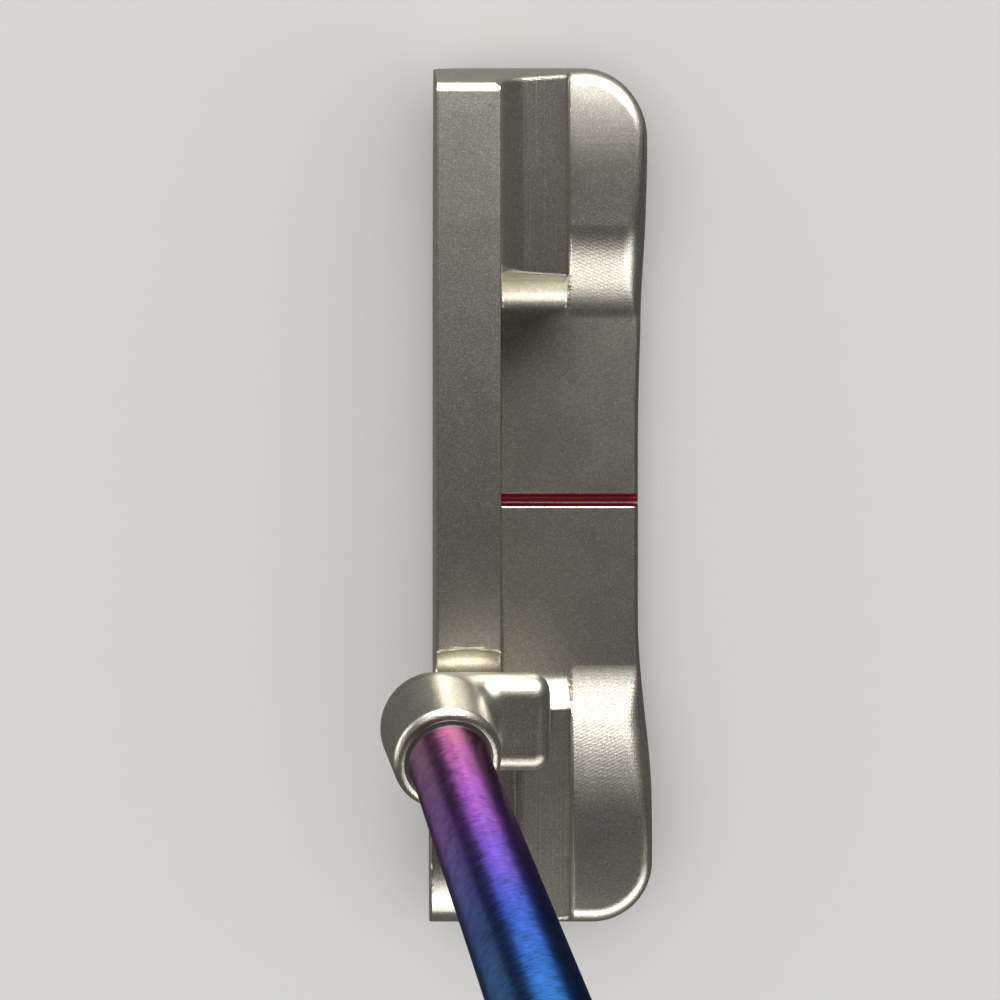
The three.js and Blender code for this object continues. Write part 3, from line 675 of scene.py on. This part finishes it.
def red_enamel():
    look = Look("red_enamel")
    pool = look.noise(0.9, 2, stretch=(1, 0.35, 1))
    grain = look.noise(4.0, 2)
    colour = look.blend(look.math("ADD", pool, 0.5), (0.09, 0.001, 0.003), (0.20, 0.001, 0.007))
    height = look.plus(look.times(pool, 0.05), look.times(grain, 0.02))
    return look.finish(colour, look.plus(0.3, look.times(grain, 0.1)), height, Specular_IOR_Level=0.25)


def weight_steel():
    look = Look("weight_steel")
    radius = look.math("SQRT", look.plus(look.times(look.x, look.x), look.times(look.y, look.y)))
    rings = look.math("SINE", look.times(radius, 2 * math.pi / 0.22))
    grain = look.noise(3.0, 3)
    colour = look.blend(look.math("ADD", look.times(grain, 0.6), 0.5), (0.40, 0.40, 0.41), (0.54, 0.54, 0.55))
    height = look.plus(look.times(rings, 0.0012), look.times(grain, 0.004))
    return look.finish(colour, look.plus(0.3, look.times(grain, 0.15)), height, Metallic=1.0)


def cured_epoxy():
    look = Look("cured_epoxy")
    pool = look.noise(0.8, 2)
    colour = look.blend(look.math("ADD", pool, 0.5), (0.030, 0.024, 0.026), (0.075, 0.058, 0.055))
    return look.finish(colour, look.plus(0.38, look.times(pool, 0.15)), look.times(pool, 0.03))


def black_rubber():
    look = Look("black_rubber")
    grain = look.noise(3.2, 3)
    bloom = look.noise(0.15, 2)
    colour = look.blend(look.math("ADD", bloom, 0.5), (0.012, 0.012, 0.013), (0.030, 0.030, 0.032))
    return look.finish(colour, look.plus(0.62, look.times(grain, 0.2)), look.times(grain, 0.03))


def grip_skin():
    look = Look("grip_skin")
    angle = look.math("ARCTAN2", look.y, look.x)
    around = look.times(angle, 11.5)
    first = look.math("SINE", look.times(look.plus(look.z, around), 2 * math.pi / 2.2))
    second = look.math("SINE", look.times(look.math("SUBTRACT", look.z, around), 2 * math.pi / 2.2))
    diamonds = look.step(look.times(first, second), -0.25, 0.35)
    from_seam = look.math("ABSOLUTE", around)
    panel = look.step(from_seam, 2.2, 3.0)
    length = look.math("SUBTRACT", look.z, GRIP_FOOT)
    within = look.times(look.step(length, 16, 20), look.step(look.times(length, -1.0), -254, -250))
    leather = look.noise(1.6, 4, roughness=0.6)
    colour = look.blend(look.math("ADD", leather, 0.5), (0.014, 0.014, 0.016), (0.042, 0.042, 0.046))
    height = look.plus(look.times(diamonds, panel, within, 0.22), look.times(leather, 0.09))
    return look.finish(colour, look.plus(0.45, look.times(leather, 0.2)), height)


def foam():
    look = Look("foam")
    cells = look.add("ShaderNodeTexVoronoi", Vector=look.place, Scale=2.2).outputs["Distance"]
    colour = look.blend(cells, (0.10, 0.10, 0.105), (0.04, 0.04, 0.045))
    return look.finish(colour, 0.85, look.times(cells, -0.12))


def tape():
    look = Look("tape")
    angle = look.math("ARCTAN2", look.y, look.x)
    spiral = look.math("SUBTRACT", look.times(look.z, 1 / 25.0), look.times(angle, 0.5 / math.pi))
    seam = look.step(look.math("FRACT", spiral), 0.0, 0.02)
    crepe = look.noise(1.2, 3, stretch=(0.3, 0.3, 2.5))
    colour = look.blend(look.math("ADD", crepe, 0.5), (0.62, 0.55, 0.38), (0.78, 0.72, 0.54))
    height = look.plus(look.times(seam, 0.08), look.times(crepe, 0.05))
    return look.finish(colour, look.plus(0.75, look.times(crepe, 0.2)), height)


def cork():
    look = Look("cork")
    cells = look.add("ShaderNodeTexVoronoi", Vector=look.place, Scale=1.4).outputs["Distance"]
    grain = look.noise(2.4, 3)
    shade = look.math("ADD", cells, look.times(grain, 0.6), clamp=True)
    colour = look.blend(shade, (0.30, 0.17, 0.08), (0.58, 0.41, 0.24))
    return look.finish(colour, 0.85, look.times(grain, 0.1))


def pale_floor():
    """Pale and matt, but in reflections an even dark grey glow in place of the lit floor, a painted
    reflection. From below it is clear, so that the sole can be seen.
    """
    look = Look("pale_floor")
    grain = look.noise(0.02, 3)
    shade = look.math("ADD", look.times(grain, 0.2), 0.5)
    colour = look.blend(shade, (0.72, 0.72, 0.715), (0.78, 0.78, 0.775))
    material = look.finish(colour, 1.0, Specular_IOR_Level=0.0)
    # painted reflection: in shiny surfaces the floor glows this grey instead of being lit
    grey = look.add("ShaderNodeEmission", Strength=FLOOR_IN_REFLECTIONS)
    clear = look.add("ShaderNodeBsdfTransparent")
    surface = look.shader
    mirrored = look.add("ShaderNodeLightPath").outputs["Is Glossy Ray"]
    from_below = look.add("ShaderNodeNewGeometry").outputs["Backfacing"]
    for when, instead in ((mirrored, grey), (from_below, clear)):
        choice = look.add("ShaderNodeMixShader", Fac=when)
        look.tree.links.new(surface.outputs[0], choice.inputs[1])
        look.tree.links.new(instead.outputs[0], choice.inputs[2])
        surface = choice
    look.tree.links.new(surface.outputs[0], look.tree.nodes["Material Output"].inputs["Surface"])
    return material


# ---------------------------------------------------------------- pieces

def make_head():
    points, triangles, quads = head_surface()
    obj = mesh_from("head_milled", points, [triangles, quads])
    if len(obj.data.vertices) == len(points):
        soften(obj, points)
    return obj


def make_sight_enamel():
    """A thin film in the groove, ended where the flange's rear edge rounds down."""
    outer, inner = SIGHT_RADIUS - 0.02, SIGHT_RADIUS - 0.2
    edge = 0.9
    arc = np.linspace(math.pi, 2 * math.pi, 29)
    section = np.concatenate((
        np.stack((outer * np.cos(arc), outer * np.sin(arc)), axis=1),
        np.stack((inner * np.cos(arc[::-1]), inner * np.sin(arc[::-1])), axis=1),
    ))
    section[:, 1] = np.minimum(section[:, 1], -0.02)
    rear = REAR_WAIST_Y - edge
    straight = np.linspace(BLADE_BACK_Y + 0.05, rear, 40)
    stations = np.concatenate((straight, rear + edge * np.linspace(0.1, 0.93, 10)))
    rows = []
    for y in stations:
        past = max(y - rear, 0)
        surface = -(edge - math.sqrt(edge * edge - past * past)) - 0.02
        height = np.minimum(section[:, 1], surface)
        rows.append(np.stack((section[:, 0], np.full(len(section), y), FLOOR_Z + height), axis=1))
    count, columns = len(rows), len(section)
    front_cap = np.arange(columns)[None]
    rear_cap = front_cap[:, ::-1] + (count - 1) * columns
    faces = [grid_faces(count, columns)[:, ::-1], front_cap, rear_cap]
    obj = mesh_from("sight_enamel", np.concatenate(rows), faces)
    obj.data.set_sharp_from_angle(angle=math.radians(40))
    return obj


def make_sole_weight(name, side):
    """Rim, hex socket and a 1 mm pitch thread."""
    rim, thread, root = 7.8, 6.35, 5.75
    foot, top = 1.7, 6.7
    socket, depth = 2.9, 3.2
    profile = [(0.02, depth + 0.9), (socket * 0.75, depth + 0.25), (socket - 0.05, depth), (socket, 0.35),
               (socket + 0.05, 0.3), (socket + 0.35, 0.02), (socket + 0.45, 0.0), (rim - 1.5, 0.0),
               (rim - 1.4, 0.1), (rim - 1.2, 0.1), (rim - 1.1, 0.0), (rim - 0.5, 0.0),
               (rim - 0.15, 0.15), (rim, 0.5), (rim, foot - 0.2), (rim - 0.2, foot), (root + 0.1, foot)]
    profile += [(thread, foot + (top - foot - 0.4) * i / 60 + 0.02) for i in range(1, 61)]
    profile += [(thread - 0.9, top), (0.02, top)]

    def shape(radius, angle, height):
        if radius[0] < socket + 0.2 and height < depth + 0.5 and radius[0] > 1:
            return radius * math.cos(math.pi / 6) / np.cos((angle % (math.pi / 3)) - math.pi / 6)
        if radius[0] == thread:
            phase = (height - angle / (2 * math.pi)) % 1.0
            crest = 1 - np.abs(phase * 2 - 1)
            run_out = min((height - foot) / 0.5, (top - height) / 0.5, 1)
            return root + (thread - root) * np.clip(crest * 1.3 - 0.1, 0, 1) * max(run_out, 0.1)
        return radius

    return turned(name, profile[::-1], weight_frame(side), 96, shape)


def make_weight_washer(name, side):
    profile = rounded([(6.5, 1.8), (7.7, 1.8), (7.7, 2.7), (6.5, 2.7)], 0.3)
    return turned(name, profile, weight_frame(side), 96)


def make_shaft():
    steps = [SHAFT_FOOT, 0.5, 60, 120, SHAFT_TAPER[0], *np.linspace(*SHAFT_TAPER, 12)[1:], SHAFT_TOP]
    radius = np.interp(steps, SHAFT_TAPER, (SHAFT_TIP_RADIUS, SHAFT_BUTT_RADIUS))
    outside = list(zip(radius, steps))
    inside = [(r - SHAFT_WALL, h) for r, h in reversed(outside)]
    foot, top = outside[0], outside[-1]
    foot_edge = [(foot[0] - 0.15, foot[1]), (foot[0], foot[1] + 0.15)]
    top_edge = [(top[0], top[1] - 0.15), (top[0] - 0.15, top[1])]
    return turned("shaft_tube", foot_edge + outside[1:-1] + top_edge + inside, shaft_frame(), 128)


def make_epoxy():
    inner, outer = SHAFT_TIP_RADIUS + 0.02, BORE_RADIUS - 0.03
    profile = [(inner, SHAFT_FOOT), (outer, SHAFT_FOOT), (outer, 0.02), (outer + 0.38, 0.03),
               (outer + 0.34, 0.09), (outer + 0.22, 0.14), (outer + 0.05, 0.20), (inner + 0.06, 0.32),
               (inner, 0.42)]
    return turned("epoxy_bead", profile, shaft_frame(), 96)


def make_tip_plug():
    radius = SHAFT_TIP_RADIUS - SHAFT_WALL - 0.06
    profile = [(0.02, SHAFT_FOOT), (radius - 0.4, SHAFT_FOOT), (radius, SHAFT_FOOT + 0.4),
               (radius, SHAFT_FOOT + 7.5), (radius - 0.5, SHAFT_FOOT + 8), (0.02, SHAFT_FOOT + 8)]
    return turned("tip_plug", profile, shaft_frame(), 64)


def make_tape():
    profile = [(TAPE_RADIUS[0], GRIP_FOOT + 1), (TAPE_RADIUS[1], GRIP_FOOT + 1),
               (TAPE_RADIUS[1], SHAFT_TOP - 2), (TAPE_RADIUS[0], SHAFT_TOP - 2)]
    return turned("grip_tape_wrap", profile, shaft_frame(), 96)


def grip_row(z, inset=0.0, seam=0.0):
    """Points round the grip at height z, shrunk by inset; seam is the depth of the groove at the back."""
    fraction = float(np.clip((z - GRIP_FOOT) / GRIP_LENGTH, 0, 1))
    at = GRIP_STATIONS[:, 0]
    high = int(np.clip(np.searchsorted(at, fraction), 1, len(at) - 1))
    blend = smooth_step(fraction, at[high - 1], at[high])
    half_width, front, back = mix(GRIP_STATIONS[high - 1, 1:], GRIP_STATIONS[high, 1:], blend)
    angle = np.arange(GRIP_SEGMENTS) / GRIP_SEGMENTS * 2 * math.pi
    c, s = np.cos(angle), np.sin(angle)
    x = np.where(c > 0, c * (back - inset), -np.abs(c) ** 0.45 * (front - inset))
    y = s * (half_width - inset)
    groove = seam * np.exp(-(y / 0.45) ** 2) * (c > 0.9)
    return np.stack((x - groove, y, np.full(GRIP_SEGMENTS, z)), axis=1)


def circle_row(radius, z):
    angle = np.arange(GRIP_SEGMENTS) / GRIP_SEGMENTS * 2 * math.pi
    return np.stack((radius * np.cos(angle), radius * np.sin(angle), np.full(GRIP_SEGMENTS, z)), axis=1)


def make_grip_cover():
    edge, seam = 0.4, 0.35
    heights = np.linspace(SKIN_FOOT + edge, SKIN_TOP - edge, 150)
    rows = [grip_row(SKIN_FOOT, edge)] + [grip_row(z, 0, seam) for z in heights] + [grip_row(SKIN_TOP, edge)]
    rows += [grip_row(z, GRIP_SKIN) for z in np.linspace(SKIN_TOP, SKIN_FOOT, 40)]
    return closed_loft("grip_skin", rows, shaft_frame(), 45)


def make_stitches():
    """Cross stitches over the seam at the grip's back."""
    rows, faces = [], []
    segments, steps = 8, 9
    for z in np.arange(GRIP_FOOT + 12, BUTT_END - 10, 4.0):
        reach = grip_row(z)[0, 0]
        for slant in (-1, 1):
            base = len(rows) * segments
            for i in range(steps):
                t = i / (steps - 1) * 2 - 1
                thick = 0.26 * math.sqrt(max(1 - t * t, 0.03))
                centre = np.array((reach - 0.05 - 0.35 * t * t, 1.3 * t, z + 1.3 * slant * t))
                turn = np.arange(segments) / segments * 2 * math.pi
                out, across = thick * np.cos(turn), np.sin(turn)
                ring = np.stack((out, -0.7 * slant * thick * across, 0.7 * thick * across), axis=1)
                rows.append(centre + ring)
            quads = grid_faces(steps, segments) + base
            faces.append(quads if slant > 0 else quads[:, ::-1])
    return mesh_from("grip_stitching", np.concatenate(rows), faces, shaft_frame())


def make_underlisting():
    heights = np.linspace(SKIN_FOOT, SKIN_TOP, 60)
    rows = [grip_row(z, GRIP_SKIN + 0.1) for z in heights]
    rows += [circle_row(TAPE_HOLE_RADIUS, z) for z in heights[::-1]]
    return closed_loft("grip_foam", rows, shaft_frame(), 45)


def make_nose_ring():
    """A rounded ring with one thin groove round it."""
    edge = 1.2
    rows = [circle_row(TAPE_HOLE_RADIUS, GRIP_FOOT + 6), circle_row(TAPE_HOLE_RADIUS, GRIP_FOOT + 0.3)]
    for t in np.linspace(0, math.pi / 2, 7)[::-1]:
        rows.append(grip_row(GRIP_FOOT + edge * (1 - math.sin(t)), edge * (1 - math.cos(t))))
    for height, share in ((2.4, 1), (2.5, 0.965), (2.7, 0.965), (2.8, 1), (5.85, 1)):
        row = grip_row(GRIP_FOOT) + np.array((0, 0, height))
        row[:, :2] *= share
        rows.append(row)
    rows.append(grip_row(GRIP_FOOT, 0.15) + np.array((0, 0, 6.0)))
    return closed_loft("grip_nose", rows, shaft_frame(), 45)


def make_butt_cap():
    """A rounded cap with a ring pressed into its top and a vent hole."""
    edge, vent = 1.6, 1.3
    rows = [circle_row(vent, BUTT_END - 5), grip_row(BUTT_END, 0.15), grip_row(BUTT_END)]
    rows[1][:, 2] = BUTT_END - 5
    rows[2][:, 2] = BUTT_END - 4.85
    for t in np.linspace(0, math.pi / 2, 9):
        row = grip_row(BUTT_END, edge * (1 - math.cos(t)))
        row[:, 2] = BUTT_END - edge * (1 - math.sin(t))
        rows.append(row)
    for share, height in ((0.72, 0.0), (0.69, -0.25), (0.63, -0.25), (0.60, 0.0)):
        row = grip_row(BUTT_END, edge)
        row[:, :2] *= share
        row[:, 2] = BUTT_END + height
        rows.append(row)
    rows += [circle_row(vent + 0.4, BUTT_END), circle_row(vent, BUTT_END - 0.4)]
    return closed_loft("grip_cap", rows, shaft_frame(), 35)


def dress(obj, material, body, node=None):
    """Gives a piece its material and its body, and hides the CAD node that it stands for."""
    obj.data.materials.append(material)
    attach(obj, body)
    if node:
        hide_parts(node)


satin = satin_steel()
rubber = black_rubber()
skin = grip_skin()
dress(make_head(), satin, "club", "head")
dress(make_sight_enamel(), red_enamel(), "club", "sight_line_paint")
weight_finish = weight_steel()
for side, end in ((-1, "toe"), (1, "heel")):
    dress(make_sole_weight(f"{end}_weight_screw", side), weight_finish,
          f"{end}_weight", f"{end}_sole_weight")
    dress(make_weight_washer(f"{end}_seal", side), rubber,
          f"{end}_washer", f"{end}_weight_washer")
dress(make_shaft(), tinted_steel(), "club", "shaft")
dress(make_epoxy(), cured_epoxy(), "club", "hosel_epoxy")
dress(make_tip_plug(), cork(), "club", "shaft_tip_plug")
dress(make_tape(), tape(), "club", "grip_tape")
dress(make_underlisting(), foam(), "club", "grip_underlisting")
dress(make_grip_cover(), skin, "club", "grip_cover")
dress(make_stitches(), rubber, "club")
dress(make_nose_ring(), rubber, "club", "grip_nose_ring")
dress(make_butt_cap(), rubber, "club", "grip_butt_cap")


# ---------------------------------------------------------------- floor, light and camera

def make_floor():
    size = 3000.0
    corners = np.array(((-size, -size, 0), (size, -size, 0), (size, size, 0), (-size, size, 0)), dtype=float)
    obj = mesh_from("floor", corners, [np.array(((0, 1, 2, 3),))])
    obj.location.z = -FLOOR_DROP
    obj.data.materials.append(pale_floor())


def soft_light(name, place, target, size, power):
    """A panel that shows in shiny surfaces; matt ones are lit by the surround."""
    data = bpy.data.lights.new(name, "AREA")
    data.shape = "RECTANGLE"
    data.size, data.size_y = size
    data.energy = power
    data.color = (1.0, 0.985, 0.95)
    lamp = bpy.data.objects.new(name, data)
    bpy.context.collection.objects.link(lamp)
    lamp.location = place
    lamp.rotation_euler = (Vector(target) - Vector(place)).to_track_quat("-Z", "Y").to_euler()
    lamp.visible_camera = False
    lamp.visible_diffuse = False


def studio_world():
    """Even light for matt surfaces; shiny ones see a dark room that brightens towards toe and heel."""
    world = bpy.data.worlds.new("studio")
    world.use_nodes = True
    world.cycles.sampling_method = "NONE"
    tree = world.node_tree
    parts = tree.nodes.new("ShaderNodeSeparateXYZ")
    tree.links.new(tree.nodes.new("ShaderNodeTexCoord").outputs["Generated"], parts.inputs[0])
    glows = []
    for low, high, glow in GLOWS:
        spread = tree.nodes.new("ShaderNodeMapRange")
        spread.interpolation_type = "SMOOTHSTEP"
        tree.links.new(parts.outputs["X"], spread.inputs["Value"])
        spread.inputs["From Min"].default_value = low
        spread.inputs["From Max"].default_value = high
        spread.inputs["To Min"].default_value = DARKEST
        spread.inputs["To Max"].default_value = glow
        glows.append(spread.outputs["Result"])
    both_sides = tree.nodes.new("ShaderNodeMath")
    tree.links.new(glows[0], both_sides.inputs[0])
    tree.links.new(glows[1], both_sides.inputs[1])
    choice = tree.nodes.new("ShaderNodeMix")
    tree.links.new(tree.nodes.new("ShaderNodeLightPath").outputs["Is Glossy Ray"], choice.inputs["Factor"])
    choice.inputs["A"].default_value = SURROUND
    tree.links.new(both_sides.outputs[0], choice.inputs["B"])
    background = tree.nodes["Background"]
    background.inputs["Color"].default_value = (1.0, 0.99, 0.97, 1)
    tree.links.new(choice.outputs["Result"], background.inputs["Strength"])
    bpy.context.scene.world = world


def make_camera():
    """Straight down on the head, with the toe at the top of the picture."""
    data = bpy.data.cameras.new("golfer")
    data.lens = CAMERA_LENS
    data.sensor_width = 36.0
    data.clip_start = 0.01
    camera = bpy.data.objects.new("golfer", data)
    bpy.context.collection.objects.link(camera)
    axes = Matrix(((0, -1, 0), (1, 0, 0), (0, 0, 1))).to_4x4()
    camera.matrix_world = Matrix.Translation(CAMERA_PLACE) @ axes
    bpy.context.scene.camera = camera


make_floor()
studio_world()
soft_light("toe_side", (-0.30, 0.03, 0.17), (0, 0, 0.02), (0.34, 0.2), 3.3)
soft_light("heel_side", (0.38, 0.14, 0.20), (0, 0, 0.02), (0.6, 0.24), 1.6)
soft_light("face_side", (-0.05, -0.50, 0.12), (0, 0, 0.02), (0.5, 0.2), 1.2)
make_camera()
bpy.context.scene.view_settings.view_transform = "Standard"
